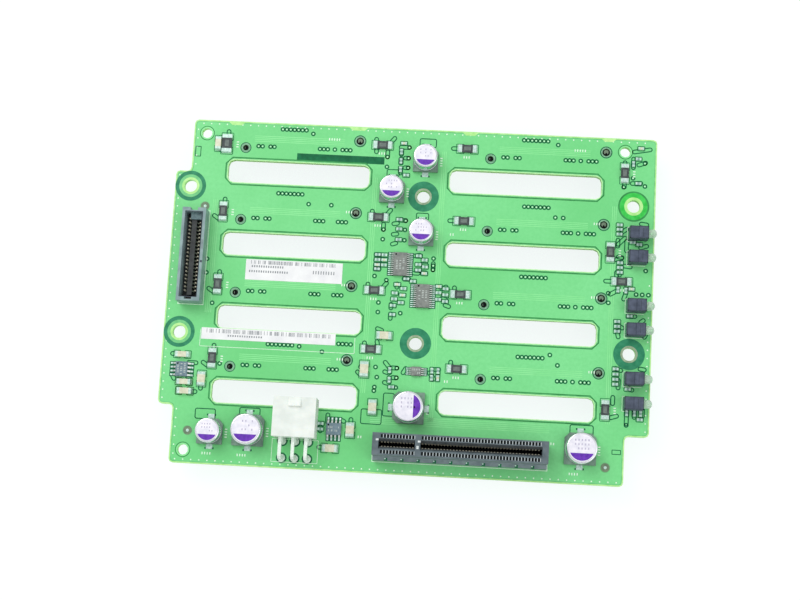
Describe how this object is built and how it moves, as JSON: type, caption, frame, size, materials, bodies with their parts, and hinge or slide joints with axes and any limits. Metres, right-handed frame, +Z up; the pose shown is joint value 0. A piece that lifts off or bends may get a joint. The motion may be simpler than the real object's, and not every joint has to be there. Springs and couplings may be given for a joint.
{
  "type": "drive backplane board",
  "caption": "Printed board with slots for air that links a stack of small drives to a server, with power, card edge and cable connectors and status lamps.",
  "frame": {"origin": "under the middle of the whole part, on the plane of the drive connectors' free faces", "axes": "+X along the long side to the status lamps, +Y from the card edge slot to the opposite edge, +Z up through the board to the cable side"},
  "size_m": [0.1606, 0.1154, 0.0213],
  "materials": {
    "board": "satin",
    "connector_black": "satin",
    "connector_grey": "satin",
    "header_white": "satin",
    "contact_gold": "polished",
    "tin": "satin",
    "can_aluminium": "satin",
    "base_black": "matte",
    "lens_clear": "clear",
    "chip_black": "matte",
    "fuse_dark": "matte",
    "ceramic_tan": "satin",
    "label_paper": "matte"
  },
  "bodies": {
    "root": {"circuit_board": "board", "drive_connector_1": "connector_black", "drive_contacts_1": "contact_gold", "drive_connector_2": "connector_black", "drive_contacts_2": "contact_gold", "drive_connector_3": "connector_black", "drive_contacts_3": "contact_gold", "drive_connector_4": "connector_black", "drive_contacts_4": "contact_gold", "drive_connector_5": "connector_black", "drive_contacts_5": "contact_gold", "drive_connector_6": "connector_black", "drive_contacts_6": "contact_gold", "drive_connector_7": "connector_black", "drive_contacts_7": "contact_gold", "drive_connector_8": "connector_black", "drive_contacts_8": "contact_gold", "card_edge_slot": "connector_grey", "sideband_receptacle": "connector_black", "sideband_contacts": "contact_gold", "power_header": "header_white", "power_pins": "tin", "capacitor_can_1": "can_aluminium", "capacitor_base_1": "base_black", "capacitor_can_2": "can_aluminium", "capacitor_base_2": "base_black", "capacitor_can_3": "can_aluminium", "capacitor_base_3": "base_black", "capacitor_can_4": "can_aluminium", "capacitor_base_4": "base_black", "capacitor_can_5": "can_aluminium", "capacitor_base_5": "base_black", "capacitor_can_6": "can_aluminium", "capacitor_base_6": "base_black", "capacitor_can_7": "can_aluminium", "capacitor_base_7": "base_black", "capacitor_leads": "tin", "status_lamp_1": "base_black", "status_lamp_2": "base_black", "status_lamp_3": "base_black", "status_lamp_4": "base_black", "status_lamp_5": "base_black", "status_lamp_6": "base_black", "status_lamp_lenses": "lens_clear", "bus_expander_chip": "chip_black", "bus_switch_chip": "chip_black", "lamp_driver_chip": "chip_black", "regulator_chip": "chip_black", "memory_chip": "chip_black", "chip_leads": "tin", "fuse_bodies": "fuse_dark", "fuse_terminals": "tin", "ceramic_capacitors": "ceramic_tan", "ceramic_terminals": "tin", "wide_label": "label_paper", "narrow_label": "label_paper"}
  },
  "joints": []
}
